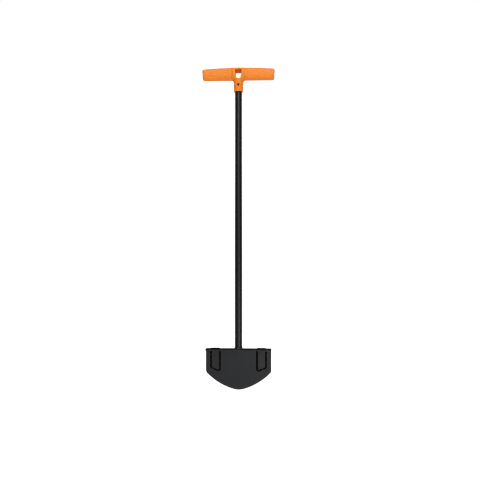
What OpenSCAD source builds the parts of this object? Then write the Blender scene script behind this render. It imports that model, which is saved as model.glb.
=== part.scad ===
// Half moon edger: a T-handled lawn edging tool that is pushed in with the foot.
// A flat steel blade with a curved ground edge hangs under a shelf-like foot platform.
// The platform is one stamped plate whose two tongues are bent down and welded to the
// blade's front face. A round steel tube stands on the platform and ends in the socket
// of a moulded T-handle, which is held by one screw and has a hole to hang the tool by.
//
// Millimetres. The origin is the lowest point of the blade, on the tube's axis.
// +Z runs up the tube, +X to the right seen from the front, and the front faces -Y.

/* [Overall] */
// Height from the blade's tip to the crown of the handle
tool_h = 972; // [700:1:1100]
// Height of the platform's top face above the blade's tip
platform_z = 124; // [112:1:150]

/* [Blade] */
// Width between the blade's straight sides
blade_w = 197; // [180:1:215]
// Thickness of the blade plate
blade_t = 2; // [1.6:0.1:4]
// Radius of the blunt tip
tip_r = 50; // [35:1:70]
// Angle from the tip's lowest point to where its arc ends
tip_angle = 15; // [8:1:18]
// Radius of the long arcs between the tip and the corners
flank_r = 180; // [165:1:210]
// Radius of the corners between the curved edge and the sides
corner_r = 14; // [6:1:24]
// Width of the ground bevel along the curved edge
bevel_w = 8; // [4:0.5:12]
// Thickness left at the cutting edge
edge_land = 0.5; // [0.3:0.1:1]

/* [Foot platform] */
// Reach of the platform in front of the blade's front face
platform_reach = 30; // [22:1:45]
// Thickness of the platform plate and its tongues
platform_t = 2.5; // [2:0.1:4]
// Radius of the platform's front corners
platform_corner_r = 10; // [3:1:16]
// Radius of the rear lobe that carries the tube
lobe_r = 15.5; // [14:0.5:20]
// Distance from the blade's side to the tongue beside it
tongue_inset = 16.5; // [10:0.5:26]
// Width of each tongue
tongue_w = 25; // [18:1:32]
// Drop from the platform's top face to the middle of a tongue's slanted foot
tongue_drop = 60; // [45:1:62]
// Slant of a tongue's foot
tongue_slant = 22; // [0:1:30]
// Radius of the corners of a tongue's foot
tongue_corner_r = 4; // [1:0.5:6]
// Inside radius of the bend between the platform and a tongue
tongue_bend_r = 6; // [3:0.5:9]
// Width of the relief notch beside each bend
relief_w = 3; // [1:0.5:4]
// Reach of the platform behind the blade's back face
rear_lip = 4; // [3:0.5:8]

/* [Shaft] */
// Outer diameter of the tube
shaft_od = 21; // [18:0.5:25]
// Wall of the tube
shaft_wall = 1; // [0.8:0.1:2]

/* [Welds] */
// Height of the bead round the foot of the tube
shaft_weld_h = 8; // [4:0.5:12]
// Reach of that bead from the tube's wall
shaft_weld_w = 4; // [2:0.5:4.5]
// Thickness of the bead's blunt top edge
shaft_weld_edge = 0.5; // [0.3:0.1:1]
// Leg of the fillet round each tongue, along the blade
tongue_weld_w = 4; // [2:0.5:5]
// Fullness of that fillet's face: 0.5 is flat, and more bulges
weld_fullness = 0.62; // [0.5:0.01:0.8]
// Height of the beads over the bends, above the platform's top face
bend_weld_h = 2; // [1:0.1:3]
// Leg of the stitches under the platform
seam_weld_leg = 3; // [2:0.5:4]
// Length of each stitch under the platform
seam_weld_len = 22; // [12:1:26]

/* [T-handle] */
// Width of the cross grip
grip_w = 218.2; // [180:0.2:240]
// Height of the grip at its middle
grip_h = 36; // [32:1:46]
// Drop of the grip's top line from its middle to its ends
grip_sag = 4.2; // [0:0.2:8]
// Depth of the grip halfway along an arm
grip_d = 25; // [20:0.5:32]
// How far each end leans in from its top to its foot
end_lean = 2.6; // [0:0.2:6]
// Rounding of the grip's ends
end_r = 5; // [2:0.5:8]
// Depth of the hub round the hang hole
hub_d = 29.5; // [28:0.5:36]
// Width of the hub
hub_w = 38; // [32:1:48]
// Length over which the hub fades into the arms
hub_blend = 8; // [6:1:12]
// Squareness of the grip's section: 2 is an ellipse
grip_e = 3; // [2.4:0.1:4]
// Length of the socket below the grip
socket_len = 36; // [24:1:60]
// Diameter of the socket at its rim
socket_rim_d = 26.6; // [26:0.2:32]
// Diameter of the socket where it meets the grip
socket_top_d = 29.6; // [28:0.2:34]
// Rounding of the socket's rim
rim_r = 1; // [0.5:0.1:2]
// Height of the flare between the socket and the hub
flare_h = 8; // [5:0.5:12]
// Wall between the socket's bore and the hang hole
bore_roof = 5; // [3:0.5:8]
// Gap between the tube's end and the bore's end
shaft_end_gap = 1; // [0.5:0.5:4]
// Radial clearance between the tube and the socket's bore
socket_clearance = 0.1; // [0.05:0.05:0.4]
// Depth of the shallow panels on the grip's faces
panel_depth = 0.8; // [0.4:0.1:1.5]
// Distance from a panel to the grip's end
panel_end = 8; // [4:0.5:14]
// Distance from a panel to the grip's crown and foot
panel_rim = 4.5; // [3:0.5:8]
// Radius of the panels' corners
panel_r = 3; // [1:0.5:5]

/* [Hang hole] */
// Width of the hang hole at its top
hang_w_top = 19.4; // [14:0.2:24]
// Width of the hang hole at its foot
hang_w_foot = 12.8; // [9:0.2:16]
// Height of the hang hole
hang_h = 24; // [16:0.5:26]
// Material above the hang hole
hang_crown = 10; // [7:0.5:14]
// Radius of the hole's top corners
hang_corner_r = 5; // [2:0.5:6]

/* [Screw] */
// Diameter of the screw's head
screw_head_d = 6.8; // [5:0.2:9]
// Diameter of the screw's shank
screw_d = 4; // [3:0.1:5]
// Length of the screw under its head
screw_len = 9; // [7:0.5:14]
// Distance from the grip's underside to the screw
screw_drop = 17; // [9:0.5:24]
// Height of the screw's head
screw_head_h = 2.2; // [1.5:0.1:3]
// Wall of the socket under the screw's head
screw_seat_wall = 2.6; // [1.5:0.1:3]
// Radial clearance round the screw's shank
screw_clearance = 0.1; // [0.05:0.05:0.3]

/* [Hidden] */

blade_front = -blade_t / 2;
blade_top = platform_z - platform_t;
platform_front = blade_front - platform_reach;
platform_back = blade_t / 2 + rear_lip;
tongue_x = blade_w / 2 - tongue_inset - tongue_w / 2;
tongue_face = blade_front - platform_t;
bend_y = tongue_face - tongue_bend_r;
bend_z = platform_z - platform_t - tongue_bend_r;
grip_foot_z = tool_h - grip_h;
rim_z = grip_foot_z - socket_len;
hang_top_z = tool_h - hang_crown;
hang_foot_z = hang_top_z - hang_h;
bore_top_z = hang_foot_z - bore_roof;
shaft_top_z = bore_top_z - shaft_end_gap;
screw_z = grip_foot_z - screw_drop;
head_seat = shaft_od / 2 + socket_clearance + screw_seat_wall;

// Outline helpers

// Points of an arc whose angle is counted from straight down towards +X
function down_arc(cx, cz, r, a0, a1, n) =
    [for (i = [0:n]) let (a = a0 + (a1 - a0) * i / n) [cx + r * sin(a), cz - r * cos(a)]];

// An outline from its right half, which starts on the axis, and that half mirrored
function mirrored(half) =
    concat(half, [for (i = [len(half) - 1:-1:1]) [-half[i][0], half[i][1]]]);

function unit(v) = v / norm(v);

// Arc that rounds the corner p between its neighbours a and b
function corner(a, p, b, r, n = 8) =
    r <= 0 ? [p] :
    let (u = unit(a - p), v = unit(b - p), half = acos(u * v) / 2,
         c = p + unit(u + v) * r / sin(half),
         s = p + u * r / tan(half) - c, e = p + v * r / tan(half) - c,
         a0 = atan2(s[1], s[0]), turn = atan2(s[0] * e[1] - s[1] * e[0], s * e))
    [for (i = [0:n]) c + r * [cos(a0 + turn * i / n), sin(a0 + turn * i / n)]];

// Closed outline from corners given as [x, y, radius]
function rounded(pts) =
    let (n = len(pts), xy = [for (p = pts) [p[0], p[1]]])
    [for (i = [0:n - 1]) each corner(xy[(i + n - 1) % n], xy[i], xy[(i + 1) % n], pts[i][2])];

// Point of a superellipse with half axes a and b at angle t
function bulged(a, b, e, t) =
    [a * sign(cos(t)) * pow(abs(cos(t)), 2 / e), b * sign(sin(t)) * pow(abs(sin(t)), 2 / e)];

function smooth(x) = let (c = max(0, min(1, x))) c * c * (3 - 2 * c);

// Solid through a row of rings with the same number of points, each counterclockwise about the way it goes
module loft(rings) {
    m = len(rings[0]);
    last = len(rings) - 1;
    polyhedron(
        points = [for (ring = rings) each ring],
        faces = concat(
            [[for (j = [0:m - 1]) j]],
            [for (i = [0:last - 1], j = [0:m - 1]) let (a = i * m + j, b = i * m + (j + 1) % m)
                each [[a, b + m, b], [a, a + m, b + m]]],
            [[for (j = [m - 1:-1:0]) last * m + j]]));
}

// Turns an outline drawn in X and Z into a plate from y0 towards the back
module upright(y0, t) {
    translate([0, y0 + t, 0]) rotate([90, 0, 0]) linear_extrude(t) children();
}

// Blade

flank_x = -(flank_r - tip_r) * sin(tip_angle);
flank_z = tip_r + (flank_r - tip_r) * cos(tip_angle);
corner_x = blade_w / 2 - corner_r;
corner_z = flank_z - sqrt(pow(flank_r - corner_r, 2) - pow(corner_x - flank_x, 2));
flank_angle = atan2(corner_x - flank_x, flank_z - corner_z);

blade_half = concat(
    down_arc(0, tip_r, tip_r, 0, tip_angle, 8),
    [for (i = [1:24]) down_arc(flank_x, flank_z, flank_r, tip_angle, flank_angle, 24)[i]],
    [for (i = [1:8]) down_arc(corner_x, corner_z, corner_r, flank_angle, 90, 8)[i]],
    [[blade_w / 2, blade_top]]);

// Cone that the front bevel is ground to, about the centre of a flank's arc
module bevel_cone(side) {
    slope = (blade_t - edge_land) / bevel_w;
    over = 3 * bevel_w;
    inner_r = flank_r - bevel_w;
    translate([side * flank_x, 0, flank_z]) rotate([90, 0, 0])
        rotate_extrude($fn = 240)
            polygon([[0, -over], [inner_r + over, -over], [inner_r + over, blade_t / 2 - over * slope],
                     [inner_r - over, blade_t / 2 + over * slope], [0, blade_t / 2 + over * slope]]);
}

module blade() {
    color([0.13, 0.13, 0.14]) intersection() {
        upright(blade_front, blade_t) polygon(mirrored(blade_half));
        bevel_cone(1);
        bevel_cone(-1);
    }
}

// Foot platform

module platform_plate() {
    half = blade_w / 2;
    notch = tongue_w + 2 * relief_w;
    difference() {
        translate([0, 0, blade_top]) linear_extrude(platform_t) union() {
            polygon(rounded([
                [-half, platform_front, platform_corner_r], [half, platform_front, platform_corner_r],
                [half, platform_back, rear_lip / 2], [-half, platform_back, rear_lip / 2]]));
            circle(lobe_r, $fn = 96);
        }
        for (side = [-1, 1])
            translate([side * tongue_x - notch / 2, bend_y, blade_top - 1])
                cube([notch, platform_back - bend_y + 1, platform_t + 2]);
    }
}

// The tongue on the +X side: its foot slants down towards the middle
tongue_foot_z = platform_z - tongue_drop;
foot_half = tongue_w / 2 - tongue_corner_r;
inner_corner = [tongue_x - foot_half,
    tongue_foot_z - foot_half * tan(tongue_slant) + tongue_corner_r / cos(tongue_slant)];
outer_corner = inner_corner + 2 * foot_half * [1, tan(tongue_slant)];

// Its outline from the outer side round the foot to the inner side, moved outwards by grow
function tongue_path(grow) = let (r = tongue_corner_r + grow, x = tongue_w / 2 + grow) concat(
    [[tongue_x + x, bend_z]],
    [for (i = [0:6]) let (a = (tongue_slant - 90) * i / 6) outer_corner + r * [cos(a), sin(a)]],
    [for (i = [0:6]) let (a = tongue_slant - 90 - (90 + tongue_slant) * i / 6)
        inner_corner + r * [cos(a), sin(a)]],
    [[tongue_x - x, bend_z]]);

module tongue() {
    upright(tongue_face, platform_t) polygon(tongue_path(0));
    translate([tongue_x, bend_y, bend_z]) rotate([0, 90, 0]) rotate([0, 0, 90])
        rotate_extrude(angle = 90, $fn = 96)
            translate([tongue_bend_r, -tongue_w / 2]) square([platform_t, tongue_w]);
}

module foot_platform() {
    color([0.11, 0.11, 0.12]) union() {
        platform_plate();
        tongue();
        mirror([1, 0, 0]) tongue();
    }
}

// Shaft

module shaft_tube() {
    color([0.1, 0.1, 0.11]) difference() {
        translate([0, 0, platform_z]) cylinder(h = shaft_top_z - platform_z, d = shaft_od, $fn = 96);
        translate([0, 0, platform_z - 1])
            cylinder(h = shaft_top_z - platform_z + 2, d = shaft_od - 2 * shaft_wall, $fn = 96);
        translate([0, 0, screw_z]) rotate([90, 0, 0])
            cylinder(h = shaft_od, d = screw_d + 2 * screw_clearance, $fn = 48);
    }
}

// Bead round the foot of the tube, with a hollow face and a blunt top edge
module shaft_weld() {
    color([0.12, 0.12, 0.13]) translate([0, 0, platform_z]) rotate_extrude($fn = 96)
        translate([shaft_od / 2, 0])
            polygon(concat([[0, 0]],
                [for (a = [0:15:90]) [shaft_weld_w - (shaft_weld_w - shaft_weld_edge) * sin(a),
                                      shaft_weld_h * (1 - cos(a))]],
                [[0, shaft_weld_h]]));
}

// Welds on the blade

// Fills the groove between a bend and the blade's top edge, with a crown above the platform
module bend_weld() {
    half_chord = (blade_t / 2 - bend_y) / 2;
    crown_r = (pow(half_chord, 2) + pow(bend_weld_h, 2)) / (2 * bend_weld_h);
    translate([tongue_x - tongue_w / 2, 0, 0]) rotate([90, 0, 90]) linear_extrude(tongue_w)
        difference() {
            intersection() {
                translate([bend_y, blade_top]) square([2 * half_chord, platform_t + bend_weld_h + 1]);
                translate([bend_y + half_chord, platform_z + bend_weld_h - crown_r])
                    circle(crown_r, $fn = 120);
            }
            translate([bend_y, bend_z]) circle(platform_t + tongue_bend_r, $fn = 120);
        }
}

module bend_welds() {
    color([0.12, 0.12, 0.13]) {
        bend_weld();
        mirror([1, 0, 0]) bend_weld();
    }
}

// Fillet that follows a tongue's sides and foot, with a bulging face
module tongue_weld() {
    inner = tongue_path(0);
    outer = tongue_path(tongue_weld_w);
    bulge = tongue_path(tongue_weld_w * weld_fullness);
    loft([for (i = [0:len(inner) - 1]) [
        [inner[i][0], blade_front, inner[i][1]], [outer[i][0], blade_front, outer[i][1]],
        [bulge[i][0], blade_front - platform_t * weld_fullness, bulge[i][1]],
        [inner[i][0], tongue_face, inner[i][1]]]]);
}

module tongue_weld_left() { color([0.09, 0.09, 0.1]) mirror([1, 0, 0]) tongue_weld(); }

module tongue_weld_right() { color([0.09, 0.09, 0.1]) tongue_weld(); }

// Three stitches between the tongues, in the corner between the blade's front and the platform
module seam_welds() {
    pitch = (tongue_x - tongue_w / 2 - tongue_weld_w) * 2 / 3;
    color([0.12, 0.12, 0.13])
        for (x = [-pitch, 0, pitch])
            translate([x - seam_weld_len / 2, blade_front, blade_top]) rotate([90, 0, 90])
                linear_extrude(seam_weld_len) intersection() {
                    circle(seam_weld_leg, $fn = 48);
                    translate([-seam_weld_leg, -seam_weld_leg]) square(seam_weld_leg);
                }
}

// T-handle

// Share of the hub in the section at distance x from the middle
function hub_share(x) = 1 - smooth((abs(x) - hub_w / 2 + hub_blend / 2) / hub_blend);

lean_z = tool_h - grip_sag - end_r;
grip_points = 40;
socket_points = 48;

// Ring of the grip at x, drawn in by inset on all sides; its plane leans in from the end's top to its foot
function grip_ring(x, inset) =
    let (half = grip_w / 2, top = tool_h - grip_sag * pow(x / half, 2),
         depth = grip_d / 2 + (hub_d - grip_d) / 2 * hub_share(x), mid = (top + grip_foot_z) / 2)
    [for (i = [0:grip_points - 1]) let (
        p = bulged(depth - inset, (top - grip_foot_z) / 2 - inset, grip_e, 360 * i / grip_points),
        z = mid + p[1])
        [x * (1 - end_lean / half * (lean_z - z) / grip_h), p[0], z]];

// Places of the rings on the +X side: close together at the hub's blend, then along the arm and round the end
blend_from = hub_w / 2 - 0.75 * hub_blend;
blend_to = hub_w / 2 + 0.75 * hub_blend;
arm_to = grip_w / 2 - end_r;
grip_right = concat(
    [[0, 0]],
    [for (i = [0:5]) [blend_from + (blend_to - blend_from) * i / 5, 0]],
    [for (i = [1:5]) [blend_to + (arm_to - blend_to) * i / 6, 0]],
    [for (a = [90:-18:0]) [arm_to + end_r * cos(a), end_r * (1 - sin(a))]]);

module grip() {
    last = len(grip_right) - 1;
    grip_left = [for (i = [last:-1:1]) [-grip_right[i][0], grip_right[i][1]]];
    loft([for (s = concat(grip_left, grip_right)) grip_ring(s[0], s[1])]);
}

// Tapered socket whose top flares into the hub and ends just inside it
module socket() {
    inside = 0.4;
    flare_w = (hub_w - socket_top_d) / 2 - inside;
    depth = hub_d / 2 - inside;
    start = grip_foot_z - flare_h / 2;
    stations = concat(
        [for (a = [0:30:90]) [rim_z + rim_r * (1 - cos(a)), rim_r * (sin(a) - 1)]],
        [[start, 0]],
        [for (a = [20:14:90]) [start + flare_h * sin(a), 0]]);
    loft([for (s = stations) let (
        share = (min(s[0], start) - rim_z) / (start - rim_z),
        r = socket_rim_d / 2 + (socket_top_d - socket_rim_d) / 2 * share + s[1],
        k = max(0, min(1, (s[0] - start) / flare_h)), f = 1 - sqrt(1 - k * k))
        [for (i = [0:socket_points - 1]) let (
            p = bulged(r + flare_w * f, r + (min(r, depth) - r) * k, 2 + 0.6 * k, 360 * i / socket_points))
            [p[0], p[1], s[0]]]]);
}

// Outline of the hang hole, wide at the top and nearly round at the foot
hang_foot_r = 0.45 * hang_w_foot;
hang_outline = rounded([
    [-hang_w_top / 2, hang_top_z, hang_corner_r], [-hang_w_foot / 2, hang_foot_z, hang_foot_r],
    [hang_w_foot / 2, hang_foot_z, hang_foot_r], [hang_w_top / 2, hang_top_z, hang_corner_r]]);

// Flat panel let into one arm's front and back faces
module arm_panels() {
    x0 = blend_to + panel_r;
    x1 = grip_w / 2 - panel_end;
    z0 = grip_foot_z + panel_rim;
    z1 = tool_h - panel_rim;
    for (back = [0, 1]) mirror([0, back, 0])
        translate([0, panel_depth - grip_d / 2, 0]) rotate([90, 0, 0]) linear_extrude(grip_d)
            polygon(rounded([[x0, z0, panel_r], [x1, z0, panel_r], [x1, z1, panel_r], [x0, z1, panel_r]]));
}

module t_handle() {
    color([0.93, 0.42, 0.09]) difference() {
        union() {
            grip();
            socket();
        }
        translate([0, 0, rim_z - 1])
            cylinder(h = bore_top_z - rim_z + 1, d = shaft_od + 2 * socket_clearance, $fn = 96);
        upright(-hub_d, 2 * hub_d) polygon(hang_outline);
        arm_panels();
        mirror([1, 0, 0]) arm_panels();
        translate([0, 0, screw_z]) rotate([90, 0, 0])
            cylinder(h = hub_d, d = screw_d + 2 * screw_clearance, $fn = 48);
        translate([0, -head_seat, screw_z]) rotate([90, 0, 0])
            cylinder(h = hub_d, d = screw_head_d + 4 * screw_clearance, $fn = 48);
    }
}

// Pan-headed screw with a cross recess, driven from the front
module handle_screw() {
    r = screw_head_d / 2;
    rim_h = screw_head_h / 4;
    crown_h = screw_head_h - rim_h;
    tip_h = 0.4 * screw_d;
    recess_w = 0.15 * screw_head_d;
    recess_len = 0.56 * screw_head_d;
    recess_h = screw_head_h / 2;
    color([0.08, 0.08, 0.09]) translate([0, -head_seat, screw_z]) rotate([90, 0, 0]) difference() {
        union() {
            rotate_extrude($fn = 64) polygon(concat([[0, 0], [r, 0]],
                [for (a = [0:15:90]) [r - screw_head_h * (1 - cos(a)), rim_h + crown_h * sin(a)]],
                [[0, screw_head_h]]));
            translate([0, 0, tip_h - screw_len]) cylinder(h = screw_len - tip_h, d = screw_d, $fn = 48);
            translate([0, 0, -screw_len])
                cylinder(h = tip_h, d1 = screw_d - 1.5 * tip_h, d2 = screw_d, $fn = 48);
        }
        for (a = [0, 90]) rotate([0, 0, a])
            translate([-recess_len / 2, -recess_w / 2, screw_head_h - recess_h])
                cube([recess_len, recess_w, 2 * recess_h]);
    }
}

blade();
foot_platform();
shaft_tube();
shaft_weld();
bend_welds();
tongue_weld_left();
tongue_weld_right();
seam_welds();
t_handle();
handle_screw();
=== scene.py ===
"""Looks of a half moon edger: black powder-coated steel under a moulded orange T-handle.

Shapes are worked out in millimetres in the part's own frame, as whole numpy arrays, and turned into
metres where a mesh is made. The origin is the blade's tip, +Z runs up the shaft, -Y is the front.
"""
import math

import bpy
import numpy as np
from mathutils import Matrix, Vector


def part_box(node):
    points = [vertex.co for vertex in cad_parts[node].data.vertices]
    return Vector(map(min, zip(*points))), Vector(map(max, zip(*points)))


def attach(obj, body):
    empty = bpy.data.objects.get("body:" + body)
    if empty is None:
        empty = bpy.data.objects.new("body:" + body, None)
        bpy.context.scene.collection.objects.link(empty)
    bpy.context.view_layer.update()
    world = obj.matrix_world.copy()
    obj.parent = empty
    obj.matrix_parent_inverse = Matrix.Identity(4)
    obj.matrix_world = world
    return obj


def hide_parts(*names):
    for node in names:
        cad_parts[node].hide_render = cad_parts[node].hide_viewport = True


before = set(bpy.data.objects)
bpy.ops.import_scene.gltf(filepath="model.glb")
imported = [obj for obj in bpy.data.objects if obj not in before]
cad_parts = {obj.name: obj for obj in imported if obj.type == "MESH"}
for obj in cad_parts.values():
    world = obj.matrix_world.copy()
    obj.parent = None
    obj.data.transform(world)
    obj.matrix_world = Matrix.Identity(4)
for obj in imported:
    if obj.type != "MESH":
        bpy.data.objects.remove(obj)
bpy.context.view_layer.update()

MM = 0.001


def box(node):
    """Lowest and highest corner of a CAD node in millimetres."""
    low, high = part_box(node)
    return np.array(low) / MM, np.array(high) / MM


# Sizes taken from the frame

blade_lo, blade_hi = box("blade")
plate_lo, plate_hi = box("foot_platform")
tube_lo, tube_hi = box("shaft_tube")
handle_lo, handle_hi = box("t_handle")
screw_lo, screw_hi = box("handle_screw")
collar_lo, collar_hi = box("shaft_weld")
_, crown_hi = box("bend_welds")
fillet_lo, fillet_hi = box("tongue_weld_right")
stitch_lo, stitch_hi = box("seam_welds")

blade_half = blade_hi[0]
blade_top = blade_hi[2]
blade_front = blade_lo[1]
blade_back = blade_hi[1]
platform_z = tube_lo[2]
plate_t = platform_z - blade_top
platform_front = plate_lo[1]
tube_r = tube_hi[0]
weld_w = fillet_hi[0] - crown_hi[0]
tongue_half = (fillet_hi[0] - fillet_lo[0]) / 2 - weld_w
tongue_x = (fillet_hi[0] + fillet_lo[0]) / 2
tongue_face = blade_front - plate_t

# Sizes of the edge, the bends, the welds and the handle, in millimetres and degrees

TIP_R = 50.0
TIP_ANGLE = 15.0
FLANK_R = 180.0
CORNER_R = 14.0
BEVEL_W = 8.0
BACK_ROUND = 0.3
EDGE_LAND = 0.5
EDGE_ROUND = 0.9
# The next four sizes place the painted shade on the blade's rim and on a line inside the bevel, and fade
# the bevel's band.
EDGE_SHADE_W = 1.6
EDGE_SHADE_FADE_W = 3.4
BEVEL_FADE_W = 0.7
BEVEL_SHADE_LINE_OFF = 0.8
BEND_R = 6.0
RELIEF_W = 3.0
PLATE_CORNER_R = 10.0
PLATE_REAR_R = 2.0
REAR_LIP = 4.0
TONGUE_CORNER_R = 4.0
TONGUE_SLANT = 22.0
TONGUE_DROP = 62.0
SHEET_SOFTNESS = 0.6
TUBE_WALL = 1.0

WELD_STEP = 0.4
TONGUE_WELD_RISE = 3.5
TONGUE_WELD_LAP = 1.5
TONGUE_WELD_CROWN = 0.45
BEND_WELD_EXTRA = 0.9
STITCH_LENGTH = 22.0
COLLAR_RIPPLES = 25.0

GRIP_H = 36.0
GRIP_SAG = 4.2
GRIP_D = 25.0
GRIP_SQUARENESS = 3.0
END_LEAN = 2.6
END_R = 5.0
HUB_D = 29.5
HUB_W = 38.0
HUB_BLEND = 6.0
SOCKET_RIM_R = 13.3
SOCKET_TOP_R = 14.8
BORE_R = 10.6
HOLE_TOP_W = 19.4
HOLE_FOOT_W = 12.8
HOLE_H = 24.0
HOLE_CROWN = 10.0
HOLE_RISE = 4.5
HOLE_CORNER_R = 5.3
HOLE_EDGE_R = 1.3
FRAME_W = 5.0
FRAME_H = 0.4
PANEL_DEPTH = 0.8
PANEL_END = 8.0
PANEL_RIM = 5.5
PANEL_R = 3.0
PANEL_SOFTNESS = 1.4
FLARE_FRONT_R = 1.2
FLARE_R = 6.0
SOCKET_EDGE_R = 1.0
BORE_EDGE_R = 0.6
BORE_ROOF = 5.0
SCREW_HEAD_R = 3.4
SCREW_R = 2.0
SEAT_GAP = 0.2
SEAT_EDGE_R = 0.35
HEAD_SEAT = 13.2
THREAD_PITCH = 0.9
THREAD_DEPTH = 0.16
HANDLE_STEP = (0.8, 0.6, 0.6)
SCREW_STEP = (0.1, 0.1, 0.1)

# The photo's camera, in metres and degrees, and the brightness of the surroundings

CAMERA_AWAY = 1.55
CAMERA_HEIGHT = 0.392
CAMERA_TURN = 2.3
CAMERA_SHIFT = (0.0031, 0.0417)
PHOTO_WIDTH = 1.4525
SENSOR_MM = 36.0
WORLD_DIM = 0.03
BELOW = 1.65

FLANK_X = (FLANK_R - TIP_R) * math.sin(math.radians(TIP_ANGLE))
FLANK_Z = TIP_R + (FLANK_R - TIP_R) * math.cos(math.radians(TIP_ANGLE))
bend_y = tongue_face - BEND_R
bend_z = blade_top - BEND_R
grip_foot_z = handle_hi[2] - GRIP_H
rim_z = handle_lo[2]
screw_z = (screw_lo[2] + screw_hi[2]) / 2


# Meshes


def placed(name, data):
    """New object of a mesh, light or camera, linked into the scene."""
    thing = bpy.data.objects.new(name, data)
    bpy.context.scene.collection.objects.link(thing)
    return thing


def piece(name, points, faces, node, finish, smooth=40.0, normals=None):
    """Mesh object from points in millimetres. It rides on the body and stands for that CAD node.
    Edges sharper than the angle smooth, in degrees, stay sharp."""
    mesh = bpy.data.meshes.new(name)
    mesh.from_pydata((np.asarray(points) * MM).tolist(), [], faces)
    mesh.shade_smooth()
    mesh.set_sharp_from_angle(angle=math.radians(smooth))
    if normals is not None:
        mesh.normals_split_custom_set_from_vertices(normals.tolist())
    mesh.materials.append(finish)
    thing = placed(name, mesh)
    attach(thing, "root")
    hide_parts(node)
    return thing


def grid_faces(rows, columns, wrap_rows=False, wrap_columns=False, start=0):
    """Quads of a grid whose point (i, j) has the number start + i * columns + j."""
    i = np.arange(rows - (not wrap_rows))[:, None]
    j = np.arange(columns - (not wrap_columns))[None, :]
    down, right = (i + 1) % rows, (j + 1) % columns
    i, j, down, right = np.broadcast_arrays(i, j, down, right)
    quads = np.stack([i * columns + j, i * columns + right, down * columns + right, down * columns + j], -1)
    return (quads.reshape(-1, 4) + start).tolist()


def end_caps(rows, columns, start=0):
    """The two faces that close a grid of closed rings, at its first and at its last ring."""
    last = start + (rows - 1) * columns
    return [list(range(start + columns - 1, start - 1, -1)), list(range(last, last + columns))]


def arc(cx, cz, r, a0, a1, n):
    """Points of an arc in X and Z. Its angle is counted from straight down towards +X, in degrees."""
    a = np.radians(np.linspace(a0, a1, n))
    return np.stack([cx + r * np.sin(a), cz - r * np.cos(a)], -1)


def smooth_step(x):
    """0 below 0, 1 above 1, and 3x^2 - 2x^3 between."""
    x = np.clip(x, 0.0, 1.0)
    return x * x * (3.0 - 2.0 * x)


def ripple(along, across, pitch, height):
    """Height of a weld's ripples: crescents one pitch apart, whose middle runs ahead of their sides."""
    phase = along / pitch - 0.45 * across ** 2
    return height * (np.abs(np.sin(np.pi * phase)) ** 0.7 - 0.5)


def wander(s, seed, size):
    """Slow uneven wave along a length s: a sum of five sines with seeded lengths and phases."""
    rng = np.random.default_rng(seed)
    wave = rng.uniform(5.0, 24.0, 5)
    phase = rng.uniform(0.0, 2.0 * np.pi, 5)
    return size * np.sin(2.0 * np.pi * s[..., None] / wave + phase).mean(-1)


# Shader maths


class Amount:
    """A shader value in an expression: + - * and ** on it add Math nodes."""

    def __init__(self, finish, socket):
        self.finish, self.socket = finish, socket

    def math(self, operation, a, b):
        return self.finish.node("ShaderNodeMath", {"operation": operation}, {0: a, 1: b})

    def __add__(self, other):
        return self.math("ADD", self, other)

    def __sub__(self, other):
        return self.math("SUBTRACT", self, other)

    def __rsub__(self, other):
        return self.math("SUBTRACT", other, self)

    def __mul__(self, other):
        return self.math("MULTIPLY", self, other)

    def __pow__(self, other):
        return self.math("POWER", self, other)

    def __abs__(self):
        return self.math("ABSOLUTE", self, 0.0)

    __radd__ = __add__
    __rmul__ = __mul__


class Finish:
    """A material, and the one method that adds its nodes."""

    def __init__(self, name):
        self.material = bpy.data.materials.new(name)
        self.material.use_nodes = True
        self.tree = self.material.node_tree
        self.shader = self.tree.nodes["Principled BSDF"]
        self.place = self.node("ShaderNodeTexCoord", {}, {}, "Object")

    def node(self, kind, settings, inputs, output=0):
        """Node of a kind: its settings are set first, then the values or links of its sockets."""
        made = self.tree.nodes.new(kind)
        for key, value in settings.items():
            if key == "stops":
                ramp = made.color_ramp.elements
                while len(ramp) < len(value):
                    ramp.new(1.0)
                for stop, (position, grey) in zip(ramp, value):
                    stop.position, stop.color = position, (grey, grey, grey, 1.0)
            else:
                setattr(made, key, value)
        for key, value in inputs.items():
            if isinstance(value, Amount):
                self.tree.links.new(value.socket, made.inputs[key])
            else:
                made.inputs[key].default_value = value
        return Amount(self, made.outputs[output])

    def noise(self, size, detail=2.0, rough=0.5, stretch=(1.0, 1.0, 1.0)):
        """Noise from 0 to 1 whose blotches are about size millimetres across, stretched along an axis."""
        scaled = self.node("ShaderNodeMapping", {}, {"Vector": self.place, "Scale": stretch})
        return self.node("ShaderNodeTexNoise", {}, {"Vector": scaled, "Scale": 1.0 / (size * MM),
                                                    "Detail": detail, "Roughness": rough})

    def smooth(self, value, low, high):
        """0 at low, 1 at high and a smooth step between; low may be the greater one."""
        if low > high:
            return 1.0 - self.smooth(value, high, low)
        return self.node("ShaderNodeMapRange", {"interpolation_type": "SMOOTHSTEP"},
                         {"Value": value, "From Min": low, "From Max": high})

    def ramp(self, value, *stops):
        """Grey ramp through stops of (position, grey)."""
        return self.node("ShaderNodeValToRGB", {"stops": stops}, {"Fac": value})

    def blend(self, share, a, b):
        """Colour from a to b by share."""
        return self.node("ShaderNodeMix", {"data_type": "RGBA"}, {0: share, 6: a, 7: b}, 2)

    def bump(self, height, depth, normal=None):
        """Normal of a height from 0 to 1 that is depth millimetres deep."""
        inputs = {"Height": height, "Distance": depth * MM, "Strength": 1.0}
        if normal:
            inputs["Normal"] = normal
        return self.node("ShaderNodeBump", {}, inputs)

    def wear(self, **sockets):
        """Sets or links the shader's sockets, named with _ for a space, and gives the material."""
        for key, value in sockets.items():
            socket = self.shader.inputs[key.replace("_", " ")]
            if isinstance(value, Amount):
                self.tree.links.new(value.socket, socket)
            else:
                socket.default_value = value
        return self.material


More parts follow.
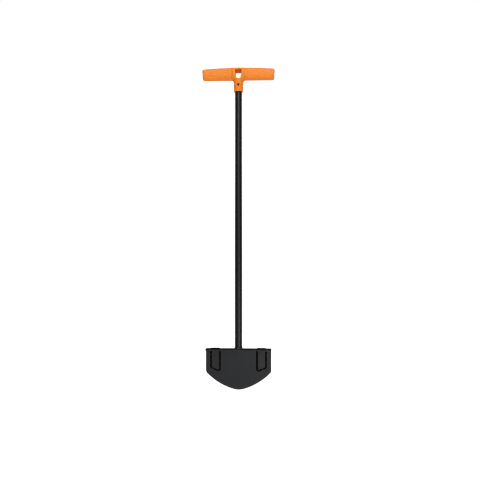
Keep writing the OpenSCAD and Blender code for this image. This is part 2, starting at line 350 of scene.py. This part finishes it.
def ground_bands(f):
    """The ground bevel, its blunt rim and the line at its inner side, each 1 there and 0 elsewhere. The
    coat paints a highlight on the bevel and shade on the rim and on the line. They go by the depth inside
    the curved edge, an arc's radius less sqrt((|x| + a)^2 + (z - b)^2), with the tip's arc between the two
    lines through its centre at its angle and the flank's arc beyond them."""
    x, y, z = (f.node("ShaderNodeSeparateXYZ", {}, {"Vector": f.place}, k) for k in range(3))
    flank = FLANK_R * MM - ((abs(x) + FLANK_X * MM) ** 2.0 + abs(z - FLANK_Z * MM) ** 2.0) ** 0.5
    tip = TIP_R * MM - (abs(x) ** 2.0 + abs(z - TIP_R * MM) ** 2.0) ** 0.5
    slope = math.tan(math.radians(TIP_ANGLE))
    near = abs(x).math("LESS_THAN", abs(x) + slope * z, slope * TIP_R * MM)
    inside = flank + near * (tip - flank)
    front = f.smooth(y, 0.6 * MM, 0.3 * MM)
    band = front * f.smooth(inside, BEVEL_W * MM, (BEVEL_W - BEVEL_FADE_W) * MM)
    rim = front * f.smooth(inside, EDGE_SHADE_FADE_W * MM, EDGE_SHADE_W * MM)
    line = front * f.smooth(abs(inside - (BEVEL_W + BEVEL_SHADE_LINE_OFF) * MM), 1.1 * MM, 0.4 * MM)
    return band, rim, line


def shade(share, *tint):
    """Opaque colour: a tint's red, green and blue times a share."""
    return tuple(share * part for part in tint) + (1.0,)


def powder_coat(name, peel=0.02, shine=0.3, share=1.0, ground=False):
    """Satin black powder coat: cloudy black, an orange peel that is peel millimetres deep, and dull and
    glossy patches. Its cloud's colour is taken times a share, and shine sets how much it mirrors. Over
    a ground bevel it shows the grinding lines, and paints a highlight on the bevel, lighter than the
    face, and shade along the blade's edge and in a line at the bevel's inner side."""
    f = Finish(name)
    cloud = f.noise(38.0, 3.0)
    fleck = f.noise(0.5, 2.0)
    base = f.blend(cloud, shade(share, 0.0042, 0.0043, 0.0051), shade(share, 0.0066, 0.0068, 0.0080))
    colour = f.blend(f.ramp(fleck, (0.62, 0.0), (0.75, 0.35)), base, (0.015, 0.015, 0.017, 1.0))
    rough = 0.36 + 0.1 * f.noise(14.0, 4.0) + 0.08 * f.noise(1.1, 2.0)
    normal = f.bump(f.noise(1.7, 1.0), peel)
    normal = f.bump(f.noise(0.45, 1.0), peel * 0.25, normal)
    if ground:
        band, rim, line = ground_bands(f)
        # Painted highlight: the ground bevel's colour is lighter than the face.
        colour = f.blend(band, colour, (0.011, 0.0112, 0.0124, 1.0))
        # Painted shade: the rim along the blade's edge and the line inside the bevel are darkened.
        colour = f.blend(rim * 0.9 + line * 0.7, colour, (0.002, 0.002, 0.0024, 1.0))
        rough = rough - 0.04 * band + 0.4 * rim + 0.25 * line
        lines = f.noise(0.8, 2.0, 0.6, (1.0, 1.0, 0.05))
        normal = f.bump(lines * band, 0.03, normal)
    return f.wear(Base_Color=colour, Roughness=rough, Normal=normal, IOR=1.6, Specular_IOR_Level=shine)


def orange_plastic():
    """Moulded orange plastic: fine spark-eroded grain, faint flow clouds and a parting line at Y = 0."""
    f = Finish("orange_plastic")
    cloud = f.noise(30.0, 3.0)
    base = f.blend(cloud, (0.79, 0.208, 0.0105, 1.0), (0.815, 0.22, 0.0115, 1.0))
    grain = f.noise(0.55, 3.0, 0.6)
    colour = f.blend(f.ramp(grain, (0.35, 0.2), (0.65, 0.0)), base, (0.68, 0.155, 0.007, 1.0))
    rough = 0.45 + 0.12 * grain + 0.06 * f.noise(9.0, 2.0)
    across = f.node("ShaderNodeSeparateXYZ", {}, {"Vector": f.place}, "Y")
    seam = f.smooth(abs(across), 0.35 * MM, 0.08 * MM)
    normal = f.bump(seam, 0.10)
    normal = f.bump(f.noise(0.8, 3.0, 0.6), 0.03, normal)
    return f.wear(Base_Color=colour, Roughness=rough, Normal=normal, IOR=1.47, Specular_IOR_Level=0.3)


def screw_black():
    """Blackened steel, a little uneven in colour and in dullness."""
    f = Finish("screw_black")
    patch = f.noise(1.5, 3.0)
    colour = f.blend(patch, (0.018, 0.018, 0.020, 1.0), (0.045, 0.044, 0.046, 1.0))
    return f.wear(Base_Color=colour, Roughness=0.30 + 0.22 * patch, Metallic=0.6,
                  Normal=f.bump(f.noise(0.3, 2.0), 0.012))


coat = powder_coat("black_powder_coat")
ground_coat_with_painted_light = powder_coat("black_powder_coat_on_ground_blade_with_painted_light", ground=True)
# Painted shade: the coat on the welds keeps 0.15 of its colour and little shine, so the beads read as dark
# shadow lines.
weld_coat_painted_shade = powder_coat("black_powder_coat_over_weld_painted_shade", peel=0.03, shine=0.04, share=0.15)
bead_coat = powder_coat("black_powder_coat_over_shaft_weld", peel=0.03)
# Painted shade: the tube's coat keeps 0.4 of the blade coat's colour, which darkens the whole tube.
tube_coat_painted_shade = powder_coat("black_powder_coat_on_tube_painted_shade", peel=0.015, shine=0.31, share=0.4)
plastic = orange_plastic()
black_screw = screw_black()


# Blade


def blade_ring(inset, y, edge_inset, edge_y):
    """Half moon outline: a tip arc, two flank arcs and two corner arcs about fixed centres, then the
    straight sides and the top. It is drawn in by inset at depth y, and along the curved edge by
    edge_inset at depth edge_y, and the corners lead from the one to the other."""
    flank_x, flank_z = -FLANK_X, FLANK_Z
    corner_x = blade_half - CORNER_R
    corner_z = flank_z - math.sqrt((FLANK_R - CORNER_R) ** 2 - (corner_x - flank_x) ** 2)
    turn = math.degrees(math.atan2(corner_x - flank_x, flank_z - corner_z))
    tip = arc(0.0, TIP_R, TIP_R - edge_inset, 0.0, TIP_ANGLE, 16)
    flank = arc(flank_x, flank_z, FLANK_R - edge_inset, TIP_ANGLE, turn, 60)[1:]
    a = np.linspace(turn, 90.0, 24)[1:]
    fade = smooth_step((a - turn) / (90.0 - turn))
    r = CORNER_R - edge_inset + (edge_inset - inset) * fade
    corner = np.stack([corner_x + r * np.sin(np.radians(a)), corner_z - r * np.cos(np.radians(a))], -1)
    side = np.stack([np.full(24, blade_half - inset), np.linspace(corner_z, blade_top - inset, 25)[1:]], -1)
    top = np.stack([np.linspace(blade_half - inset, 0.0, 25)[1:], np.full(24, blade_top - inset)], -1)
    right = np.concatenate([tip, flank, corner, side, top])
    share = np.concatenate([np.ones(len(tip) + len(flank)), 1.0 - fade, np.zeros(48)])
    depth = y + (edge_y - y) * share
    right = np.stack([right[:, 0], depth, right[:, 1]], -1)
    return np.concatenate([right, right[-2:0:-1] * (-1.0, 1.0, 1.0)])


def blade():
    """Closed plate from rings: the back's rounded rim, the edge's land, the ground bevel and the front."""
    ground = blade_back - EDGE_LAND
    turn = np.radians([0.0, 30.0, 60.0, 90.0])
    rim = np.stack([1.0 - np.sin(turn), 1.0 - np.cos(turn)], -1)
    rings = [blade_ring(i, blade_back - d, i, blade_back - d) for i, d in BACK_ROUND * rim]
    rim = rim * (EDGE_ROUND, 0.7 * EDGE_ROUND)
    bevel = np.array([0.0, 0.04, 0.1, 0.3, 0.6, 0.9, 0.96, 1.02, 1.1])
    sag = np.array([0.0, 0.16, 0.24, 0.4, 0.63, 0.84, 0.86, 0.93, 1.0])
    sides = np.concatenate([rim[::-1], [(EDGE_ROUND, 0.0)] * 5])
    sides[4:, 0] += 0.4 * np.arange(1, 6)
    rings += [blade_ring(i, blade_front + d, BEVEL_W * b, ground + (blade_front - ground) * g)
              for (i, d), b, g in zip(sides, bevel, sag)]
    n = len(rings[0])
    faces = grid_faces(len(rings), n, wrap_columns=True)
    faces += end_caps(len(rings), n)
    return piece("blade_plate", np.concatenate(rings), faces, "blade", ground_coat_with_painted_light, 30.0)


# Foot platform


def tongue_path(grow, step=None, rise=0.0):
    """The right tongue's outline below its bend, moved outwards by grow: down the outer side, round the
    two corners of the slanted foot and up the inner side, as points and outward directions in X and Z.
    Its sides start by rise above the bend's lower end. With a step, its points are that far apart."""
    slant = math.radians(TONGUE_SLANT)
    reach = tongue_half - TONGUE_CORNER_R
    foot_z = platform_z - TONGUE_DROP
    inner_z = foot_z - reach * math.tan(slant) + TONGUE_CORNER_R / math.cos(slant)
    inner = np.array([tongue_x - reach, inner_z])
    outer = inner + 2.0 * reach * np.array([1.0, math.tan(slant)])
    first = np.radians(np.linspace(0.0, TONGUE_SLANT - 90.0, 13))
    second = np.radians(np.linspace(TONGUE_SLANT - 90.0, -180.0, 13))
    turn = np.concatenate([[0.0], first, second, [-np.pi]])
    out = np.stack([np.cos(turn), np.sin(turn)], -1)
    top_z = bend_z + rise
    centre = np.concatenate([[(outer[0], top_z)], [outer] * 13, [inner] * 13, [(inner[0], top_z)]])
    line = centre + TONGUE_CORNER_R * out
    if step:
        s = np.concatenate([[0.0], np.cumsum(np.hypot(*np.diff(line, axis=0).T))])
        even = np.linspace(0.0, s[-1], int(s[-1] / step))
        line = np.stack([np.interp(even, s, line[:, k]) for k in (0, 1)], -1)
        turn = np.interp(even, s, turn)
        out = np.stack([np.cos(turn), np.sin(turn)], -1)
    return line + grow * out, out


def foot_platform():
    """One folded sheet, drawn as the plate's upper side with notches and a rear lobe, twelve strips round
    each bend and the back side of the tongues' legs. Solidify gives its wall, Bevel rounds its edges."""
    half, back, front = blade_half, blade_back + REAR_LIP, platform_front
    lobe_r = plate_hi[1]
    start = math.degrees(math.asin(back / lobe_r))
    notch = [tongue_x + tongue_half + RELIEF_W, tongue_x - tongue_half - RELIEF_W]
    a = np.radians(np.linspace(-90.0, 0.0, 13))
    corner = np.stack([half - PLATE_CORNER_R + PLATE_CORNER_R * np.cos(a),
                       front + PLATE_CORNER_R + PLATE_CORNER_R * np.sin(a)], -1)
    b = np.radians(np.linspace(0.0, 90.0, 7))
    rear = np.stack([half - PLATE_REAR_R + PLATE_REAR_R * np.cos(b),
                     back - PLATE_REAR_R + PLATE_REAR_R * np.sin(b)], -1)
    c = np.radians(np.linspace(start, 90.0, 20))
    lobe = lobe_r * np.stack([np.cos(c), np.sin(c)], -1)
    bend = [(tongue_x + tongue_half, bend_y), (tongue_x - tongue_half, bend_y)]
    right = np.concatenate([corner, rear, [(notch[0], back), (notch[0], bend_y)], bend,
                            [(notch[1], bend_y), (notch[1], back)], lobe])
    outline = np.concatenate([right, right[-2::-1] * (-1.0, 1.0)])
    n = len(outline)
    points = [np.column_stack([outline, np.full(n, platform_z)])]
    faces = [list(range(n))]
    hinge = len(corner) + len(rear) + 2
    turn = np.radians(np.linspace(0.0, 90.0, 13))[1:]
    r = BEND_R + plate_t
    leg, _ = tongue_path(0.0)
    count = n
    for side, (outer, inner) in ((1.0, (hinge, hinge + 1)), (-1.0, (n - 1 - hinge, n - 2 - hinge))):
        strip = np.stack([bend_y + r * np.sin(turn), bend_z + r * np.cos(turn)], -1)
        pair = np.array([[tongue_x + tongue_half], [tongue_x - tongue_half]]) * side
        rows = np.stack([np.column_stack([np.broadcast_to(x, len(strip)), strip]) for x in pair], 1)
        foot = np.column_stack([side * leg[1:-1, 0], np.full(len(leg) - 2, blade_front), leg[1:-1, 1]])
        edge = [(outer, inner)] + [(count + 2 * k, count + 2 * k + 1) for k in range(len(turn))]
        quads = [[u0, u1, d1, d0] for (u0, u1), (d0, d1) in zip(edge, edge[1:])]
        first = count + 2 * len(turn)
        loop = [edge[-1][0], edge[-1][1]] + list(range(first + len(foot) - 1, first - 1, -1))
        faces += [face[::-1] if side > 0 else face for face in quads + [loop]]
        points += [rows.reshape(-1, 3), foot]
        count = first + len(foot)
    points = np.concatenate(points)
    made = piece("foot_platform_sheet", points, faces, "foot_platform", coat, 60.0)
    wall = made.modifiers.new("wall", "SOLIDIFY")
    wall.thickness = plate_t * MM
    wall.offset = -1.0
    wall.use_even_offset = True
    soft = made.modifiers.new("soft_edges", "BEVEL")
    soft.width = SHEET_SOFTNESS * MM
    soft.segments = 3
    soft.limit_method = "ANGLE"
    soft.angle_limit = math.radians(50.0)
    soft.harden_normals = True
    return made


# Shaft


def turned(profile, columns):
    """Grid of points of a closed profile of (radius, height), turned about Z."""
    a = np.linspace(0.0, 2.0 * np.pi, columns, endpoint=False)
    r, z = np.asarray(profile).T
    x, y = r[:, None] * np.cos(a), r[:, None] * np.sin(a)
    return np.stack([x, y, np.broadcast_to(z[:, None], x.shape)], -1)


def shaft():
    """Round tube: outer wall, rounded ends and inner wall as one closed turned surface."""
    inner, soft = tube_r - TUBE_WALL, 0.2
    profile = [(tube_r, tube_lo[2] + soft), (tube_r, tube_hi[2] - soft), (tube_r - soft, tube_hi[2]),
               (inner + soft, tube_hi[2]), (inner, tube_hi[2] - soft), (inner, tube_lo[2] + soft),
               (inner + soft, tube_lo[2]), (tube_r - soft, tube_lo[2])]
    grid = turned(profile, 128)[:, ::-1]
    faces = grid_faces(len(profile), 128, wrap_rows=True, wrap_columns=True)
    return piece("shaft_tube_wall", grid.reshape(-1, 3), faces, "shaft_tube", tube_coat_painted_shade)


def shaft_bead():
    """Bead round the tube's foot: a hollow quarter curve from the tube down to the platform, with
    ripples all round and an uneven toe, closed by the tube's wall and the platform's top."""
    columns, rows = 360, 22
    a = np.linspace(0.0, 2.0 * np.pi, columns, endpoint=False)[None, :]
    t = np.radians(np.linspace(0.0, 90.0, rows))[:, None]
    reach = collar_hi[0] - tube_r
    tall = collar_hi[2] - collar_lo[2]
    wave = 0.3 * np.sin(3.0 * a + 0.7) + 0.2 * np.sin(7.0 * a + 2.0)
    turns = a / (2.0 * np.pi) * COLLAR_RIPPLES + 0.35 * wave
    h = ripple(turns, np.sin(t) * 1.2, 1.0, 0.22) * np.sin(2.0 * t)
    r = tube_r + 0.05 + (reach - 0.3 + 0.6 * wave * np.cos(t)) * (1.0 - np.sin(t)) + h
    z = platform_z + (tall + 0.6 * wave - 0.3) * (1.0 - np.cos(t)) + 0.5 * h
    inner = np.full((2, columns), tube_r - 0.5)
    r = np.concatenate([r, inner])
    z = np.concatenate([z, z[-1:], np.full((1, columns), platform_z)])
    grid = np.stack([r * np.cos(a), r * np.sin(a), z], -1)[:, ::-1]
    faces = grid_faces(rows + 2, columns, wrap_rows=True, wrap_columns=True)
    return piece("shaft_weld_bead", grid.reshape(-1, 3), faces, "shaft_weld", bead_coat, 60.0)


# Welds on the blade


def beads(grids, name, node):
    """One piece of closed beads, each a grid of closed rings with capped ends."""
    points, faces, start = [], [], 0
    for grid in grids:
        rows, columns = grid.shape[:2]
        faces += grid_faces(rows, columns, wrap_columns=True, start=start)
        faces += end_caps(rows, columns, start)
        points.append(grid.reshape(-1, 3))
        start += rows * columns
    return piece(name, np.concatenate(points), faces, node, weld_coat_painted_shade, 60.0)


def tongue_bead(side, name, node):
    """Fillet along the tongue's sides and foot: a bulging quarter curve from the blade up over the
    tongue's edge, with crescent ripples along it and an uneven toe, closed by the metal behind it."""
    line, out = tongue_path(0.0, WELD_STEP, TONGUE_WELD_RISE)
    s = np.arange(len(line)) * WELD_STEP
    a = np.radians(np.linspace(0.0, 90.0, 15))[None, :]
    full = 1.2
    reach = (weld_w - 0.3 + wander(s, 5 + int(side), 1.5))[:, None]
    lap = (TONGUE_WELD_LAP + wander(s, 25 + int(side), 0.8))[:, None]
    tall = (plate_t + TONGUE_WELD_CROWN + wander(s, 15 + int(side), 0.3))[:, None]
    h = ripple(s[:, None], a / (np.pi / 4.0) - 1.0, 2.6, 0.42) * np.sin(2.0 * a)
    grow = (reach + lap) * np.cos(a) ** full - lap + h * np.cos(a)
    y = blade_front - tall * np.sin(a) ** full - h * np.sin(a)
    grow = np.concatenate([grow, -lap - 0.35, -lap - 0.35], 1)
    y = np.concatenate([y, np.full((len(s), 1), tongue_face + 0.05), np.full((len(s), 1), blade_front)], 1)
    x = side * (line[:, :1] + out[:, :1] * grow)
    z = line[:, 1:] + out[:, 1:] * grow
    grid = np.stack([x, y, z], -1)
    return beads([grid if side < 0 else grid[:, ::-1]], name, node)


def closed_bead(x, ring_y, ring_z):
    """Grid of closed rings along X from each ring's Y and Z."""
    return np.stack([np.broadcast_to(x[:, None], ring_y.shape), ring_y, ring_z], -1)


def crown_bead(side):
    """Grid of a bead over a bend and its two notches: a low crown of crescent ripples across the groove
    between the bend and the blade's top, which fades at both ends, closed round the groove below."""
    half = tongue_half + RELIEF_W - 0.1
    x = np.linspace(-1.0, 1.0, 121) * half
    fade = np.sqrt(np.clip(1.0 - (np.abs(x) / (half + 0.2)) ** 6, 0.0, 1.0))[:, None]
    q = np.linspace(-1.0, 1.0, 17)[None, :]
    middle, deep = (bend_y + blade_back) / 2.0, (blade_back - bend_y) / 2.0
    tall = crown_hi[2] - platform_z + BEND_WELD_EXTRA + wander(x, 31 + int(side), 0.3)[:, None]
    h = ripple(x[:, None], q, 2.3, 0.3) * (1.0 - q ** 2)
    y = np.repeat(middle + deep * q, len(x), 0)
    z = platform_z - 0.15 + (tall * (1.0 - q ** 2) + h) * fade
    r = BEND_R + plate_t
    turn = np.arccos((blade_top - bend_z) / r) * np.linspace(1.0, 0.15, 5)[None, :]
    under_y = np.concatenate([np.full((1, 1), blade_back), bend_y + r * np.sin(turn)], 1)
    under_z = np.concatenate([np.full((1, 1), blade_top), bend_z + r * np.cos(turn)], 1)
    y = np.concatenate([y, np.repeat(under_y, len(x), 0)], 1)
    z = np.concatenate([z, np.repeat(under_z, len(x), 0)], 1)
    return closed_bead(x + side * tongue_x, y, z)


def stitch(middle, seed):
    """Grid of a stitch in the corner under the platform: a quarter round of crescent ripples with round
    ends. Its middle is -1, 0 or 1: left, centre or right."""
    half = STITCH_LENGTH / 2.0
    x = np.linspace(-1.0, 1.0, 91) * half
    leg = blade_front - stitch_lo[1]
    fade = np.sqrt(np.clip(1.0 - (np.abs(x) / (half + 0.05)) ** 5, 0.0, 1.0))[:, None]
    a = np.radians(np.linspace(0.0, 90.0, 13))[None, :]
    r = (leg - 0.25 + wander(x, seed, 0.3)[:, None]
         + ripple(x[:, None], a / (np.pi / 4.0) - 1.0, 2.0, 0.26)) * fade + 0.02
    y = np.concatenate([blade_front - r * np.sin(a), np.full((len(x), 1), blade_front)], 1)
    z = np.concatenate([blade_top - r * np.cos(a), np.full((len(x), 1), blade_top)], 1)
    return closed_bead(x + middle * ((stitch_hi[0] - stitch_lo[0]) / 2.0 - half), y, z)


# Moulded handle


def rounded_and(a, b, r):
    """Where both are inside, with the edge between them rounded to radius r."""
    return np.minimum(np.maximum(a, b), -r) + np.hypot(np.maximum(a + r, 0.0), np.maximum(b + r, 0.0))


def rounded_or(a, b, r):
    """Where either is inside, with the corner between them filled to radius r."""
    return np.maximum(np.minimum(a, b), r) - np.hypot(np.maximum(r - a, 0.0), np.maximum(r - b, 0.0))


def skin(field, low, high, step):
    """Closed surface where a field is 0. Each grid cell that it crosses gets one point, the mean of the
    crossings on the cell's edges, moved down the gradient onto the surface, and each crossed grid edge
    gets the quad of the four cells round it."""
    axes = [np.arange(a, b + d, d) for a, b, d in zip(low, high, step)]
    place = np.stack(np.meshgrid(*axes, indexing="ij"), -1)
    value = field(*np.moveaxis(place, -1, 0))
    shape = tuple(n - 1 for n in value.shape)
    count, total, crossings = np.zeros(shape), np.zeros(shape + (3,)), []
    for axis in range(3):
        others = ((axis + 1) % 3, (axis + 2) % 3)
        lo, hi = [slice(None)] * 3, [slice(None)] * 3
        lo[axis], hi[axis] = slice(None, -1), slice(1, None)
        a, b = value[tuple(lo)], value[tuple(hi)]
        crossed = (a < 0.0) != (b < 0.0)
        share = np.where(crossed, a / np.where(crossed, a - b, 1.0), 0.0)
        spot = place[tuple(lo)].copy()
        spot[..., axis] += share * step[axis]
        spot *= crossed[..., None]
        for first in (slice(None, -1), slice(1, None)):
            for second in (slice(None, -1), slice(1, None)):
                cut = [slice(None)] * 3
                cut[others[0]], cut[others[1]] = first, second
                count += crossed[tuple(cut)]
                total += spot[tuple(cut)]
        crossings.append((crossed, a < 0.0, others))
    number = np.full(shape, -1)
    used = count > 0
    number[used] = np.arange(used.sum())
    points = total[used] / count[used][:, None]
    faces = []
    for crossed, out, (u, v) in crossings:
        at = np.argwhere(crossed)
        ring = []
        for du, dv in ((1, 1), (0, 1), (0, 0), (1, 0)):
            cell = at.copy()
            cell[:, u] -= du
            cell[:, v] -= dv
            ring.append(number[tuple(cell.T)])
        quads = np.stack(ring, -1)
        faces.append(np.where(out[crossed][:, None], quads, quads[:, ::-1]))
    nudge = 0.02
    for _ in range(5):
        here = field(*points.T)
        slope = np.stack([(field(*(points + d).T) - field(*(points - d).T)) / (2.0 * nudge)
                          for d in np.eye(3) * nudge], -1)
        steep = np.linalg.norm(slope, axis=-1, keepdims=True)
        move = here[:, None] * slope / np.maximum(steep ** 2, 0.05)
        points -= np.clip(move, -0.5 * step[0], 0.5 * step[0])
    return points, np.concatenate(faces).tolist(), slope / steep


def grip(x, y, z):
    """Arched cross grip: a squared ellipse section, deeper at the hub, with leaning rounded ends and a
    shallow panel, sunk evenly with a soft border, in each side of each half."""
    half = handle_hi[0]
    top = handle_hi[2] - GRIP_SAG * (x / half) ** 2
    middle, tall = (top + grip_foot_z) / 2.0, (top - grip_foot_z) / 2.0
    hub = 1.0 - smooth_step((np.abs(x) - HUB_W / 2.0 + HUB_BLEND / 2.0) / HUB_BLEND)
    deep = GRIP_D / 2.0 + (HUB_D - GRIP_D) / 2.0 * hub
    e = GRIP_SQUARENESS
    k = ((np.abs(y) / deep) ** e + (np.abs(z - middle) / tall) ** e) ** (1.0 / e)
    section = np.hypot(y, z - middle) * (1.0 - 1.0 / np.maximum(k, 0.01))
    lean_z = handle_hi[2] - GRIP_SAG - END_R
    end = np.abs(x) - half + END_LEAN * (lean_z - z) / GRIP_H
    body = rounded_and(section, end, END_R)
    x0, x1 = HUB_W / 2.0 + HUB_BLEND + PANEL_R, half - PANEL_END
    border = rounded_and(np.abs(np.abs(x) - (x0 + x1) / 2.0) - (x1 - x0) / 2.0,
                         np.abs(z - middle) - tall + PANEL_RIM, PANEL_R)
    return body + PANEL_DEPTH * (1.0 - smooth_step(border / PANEL_SOFTNESS + 1.0))


def hang_hole(x, y, z):
    """Distance from the wall of the hang hole: wider above, with rounded corners and a ceiling that
    rises to the front."""
    z0 = handle_hi[2] - HOLE_CROWN - HOLE_H
    z1 = z0 + HOLE_H + HOLE_RISE * np.clip(0.5 - y / HUB_D, 0.0, 1.0)
    lean = (HOLE_TOP_W - HOLE_FOOT_W) / 2.0 / HOLE_H
    side = (np.abs(x) - HOLE_FOOT_W / 2.0 - lean * (z - z0)) / math.hypot(1.0, lean)
    return rounded_and(side, np.maximum(z - z1, z0 - z), HOLE_CORNER_R)


def handle_field(x, y, z):
    """The moulding: grip, raised frame round the hang hole, tapered socket that flares into the hub, the
    hole, the bore for the tube and the seat of the screw."""
    hole = hang_hole(x, y, z)
    body = grip(x, y, z) - FRAME_H * (1.0 - smooth_step((hole - FRAME_W + 0.5) / 1.0))
    round_z = np.hypot(x, y)
    taper = SOCKET_RIM_R + (SOCKET_TOP_R - SOCKET_RIM_R) * (z - rim_z) / (grip_foot_z - rim_z)
    socket = np.maximum(rounded_and(round_z - taper, rim_z - z, SOCKET_EDGE_R), z - grip_foot_z - 6.0)
    body = rounded_or(body, socket, FLARE_FRONT_R + FLARE_R * smooth_step((np.abs(x) - 5.0) / 9.0))
    bore_end = handle_hi[2] - HOLE_CROWN - HOLE_H - BORE_ROOF
    bore = np.maximum(round_z - BORE_R, z - bore_end)
    round_y = np.hypot(x, z - screw_z)
    seat = np.maximum(round_y - SCREW_HEAD_R - SEAT_GAP, y + HEAD_SEAT)
    seat = np.minimum(seat, np.maximum(round_y - SCREW_R, y))
    body = rounded_and(body, -hole, HOLE_EDGE_R)
    body = rounded_and(body, -bore, BORE_EDGE_R)
    return rounded_and(body, -seat, SEAT_EDGE_R)


def handle():
    """The moulding's skin, as a closed surface."""
    side, front = round(handle_hi[0] + 2.0), 17.1
    low, high = (-side, -front, rim_z - 1.3), (side, front, handle_hi[2] + 1.5)
    points, faces, normals = skin(handle_field, low, high, HANDLE_STEP)
    return piece("t_handle_moulding", points, faces, "t_handle", plastic, 180.0, normals)


def screw_field(x, y, z):
    """Pan head with a cross recess, and a pointed shank with a thread of rings."""
    z = z - screw_z
    out = -HEAD_SEAT - y
    r = np.hypot(x, z)
    tall = -HEAD_SEAT - screw_lo[1]
    head = np.maximum(rounded_and(r - SCREW_HEAD_R, out - tall, 0.75 * tall), -out)
    arm, reach = 0.42 + 0.1 * out, 1.7 + 0.15 * out
    cross = np.minimum(np.maximum(np.abs(x) - arm, np.abs(z) - reach),
                       np.maximum(np.abs(z) - arm, np.abs(x) - reach))
    cross = np.maximum(cross, tall - 1.3 - out + 0.3 * r)
    head = rounded_and(head, -cross, 0.15)
    depth = screw_hi[1] + HEAD_SEAT
    thread = THREAD_DEPTH * np.abs(((out / THREAD_PITCH) % 1.0) - 0.5) * 2.0
    shank = np.maximum(r - SCREW_R + 0.1 + thread, out - 0.5)
    shank = np.maximum(shank, 0.8 * (r - 0.6 - 0.9 * (out + depth)))
    return np.minimum(head, np.maximum(shank, -depth - out))


def screw():
    """The screw's skin, as a closed surface."""
    r = SCREW_HEAD_R + 0.3
    low = (-r, screw_lo[1] - 0.3, screw_z - r)
    high = (r, screw_hi[1] + 0.3, screw_z + r)
    points, faces, normals = skin(screw_field, low, high, SCREW_STEP)
    return piece("handle_screw_pan_head", points, faces, "handle_screw", black_screw,
                 180.0, normals)


blade()
foot_platform()
shaft()
shaft_bead()
beads([crown_bead(1.0), crown_bead(-1.0)], "bend_welds_beads", "bend_welds")
tongue_bead(-1.0, "tongue_weld_left_bead", "tongue_weld_left")
tongue_bead(1.0, "tongue_weld_right_bead", "tongue_weld_right")
beads([stitch(-1.0, 41), stitch(0.0, 42), stitch(1.0, 43)], "seam_welds_stitches", "seam_welds")
handle()
screw()


# Studio


def floor():
    """Pale round floor that fades out into the white surroundings."""
    mesh = bpy.data.meshes.new("floor")
    a = np.linspace(0.0, 2.0 * np.pi, 96, endpoint=False)
    ring = 4.0 * np.stack([np.cos(a), np.sin(a), 0.0 * a], -1)
    mesh.from_pydata(ring.tolist(), [], [list(range(96))])
    f = Finish("pale_floor")
    away = f.node("ShaderNodeVectorMath", {"operation": "LENGTH"}, {0: f.place}, 1)
    fade = f.node("ShaderNodeMapRange", {"interpolation_type": "SMOOTHSTEP"},
                  {"Value": away, "From Min": 0.5, "From Max": 2.2, "To Min": 0.35, "To Max": 0.0})
    mesh.materials.append(f.wear(Base_Color=(0.9, 0.9, 0.9, 1.0), Roughness=0.7, Alpha=fade,
                                 Emission_Color=(1.0, 1.0, 1.0, 1.0), Emission_Strength=0.7))
    placed("floor", mesh)


def softbox(name, place, aim, width, height, watts):
    """Rectangular light at a place, in metres, that faces a point."""
    light = bpy.data.lights.new(name, "AREA")
    light.shape = "RECTANGLE"
    light.size, light.size_y, light.energy = width, height, watts
    thing = placed(name, light)
    thing.location = place
    thing.rotation_euler = (Vector(aim) - Vector(place)).to_track_quat("-Z", "Z").to_euler()


def surroundings():
    """White to the camera. To the object a dim grey, brighter straight below as over a white floor."""
    world = bpy.data.worlds.new("surroundings")
    world.use_nodes = True
    tree = world.node_tree
    seen = tree.nodes.new("ShaderNodeLightPath")
    mix = tree.nodes.new("ShaderNodeMixShader")
    place = tree.nodes.new("ShaderNodeTexCoord")
    split = tree.nodes.new("ShaderNodeSeparateXYZ")
    below = tree.nodes.new("ShaderNodeMapRange")
    below.interpolation_type = "SMOOTHSTEP"
    for key, value in {"From Min": -0.8, "From Max": -0.45, "To Min": BELOW, "To Max": WORLD_DIM}.items():
        below.inputs[key].default_value = value
    dim = tree.nodes["Background"]
    dim.inputs["Color"].default_value = (0.86, 0.91, 1.0, 1.0)
    white = tree.nodes.new("ShaderNodeBackground")
    white.inputs["Color"].default_value = (1.0, 1.0, 1.0, 1.0)
    tree.links.new(place.outputs["Generated"], split.inputs[0])
    tree.links.new(split.outputs["Z"], below.inputs["Value"])
    tree.links.new(below.outputs[0], dim.inputs["Strength"])
    tree.links.new(seen.outputs["Is Camera Ray"], mix.inputs["Fac"])
    tree.links.new(dim.outputs[0], mix.inputs[1])
    tree.links.new(white.outputs[0], mix.inputs[2])
    tree.links.new(mix.outputs[0], tree.nodes["World Output"].inputs["Surface"])
    bpy.context.scene.world = world


def camera():
    """Level camera in front of the tool, a little to its right."""
    lens = bpy.data.cameras.new("camera")
    lens.sensor_width, lens.lens = SENSOR_MM, SENSOR_MM * CAMERA_AWAY / PHOTO_WIDTH
    lens.shift_x, lens.shift_y = CAMERA_SHIFT
    lens.clip_start = 0.01
    thing = placed("camera", lens)
    turn = math.radians(CAMERA_TURN)
    thing.location = (CAMERA_AWAY * math.sin(turn), -CAMERA_AWAY * math.cos(turn), CAMERA_HEIGHT)
    thing.rotation_euler = (math.radians(90.0), 0.0, turn)
    bpy.context.scene.camera = thing


floor()
surroundings()
softbox("high_softbox", (0.25, -2.2, 1.8), (0.0, 0.0, 0.8), 0.7, 1.1, 25.0)
softbox("low_softbox", (0.95, -1.8, 0.34), (0.0, 0.0, 0.1), 0.8, 0.5, 4.5)
softbox("low_strip", (0.1, -1.75, 0.06), (0.0, 0.0, 0.12), 0.16, 0.1, 2.4)
softbox("near_strip", (0.42, -0.55, 0.06), (0.06, 0.0, 0.07), 0.12, 0.1, 0.8)
softbox("top_softbox", (0.0, -0.9, 2.4), (0.0, 0.0, 0.4), 1.6, 1.0, 26.0)
softbox("left_softbox", (-1.9, -1.9, 1.1), (0.0, 0.0, 0.6), 0.7, 1.2, 1.5)
softbox("back_right_softbox", (1.9, 1.9, 1.5), (0.0, 0.0, 0.4), 0.9, 1.2, 17.0)
softbox("back_left_softbox", (-1.9, 1.9, 1.5), (0.0, 0.0, 0.4), 0.9, 1.2, 17.0)
camera()
bpy.context.scene.view_settings.view_transform = "Standard"
bpy.context.scene.cycles.filter_width = 1.1
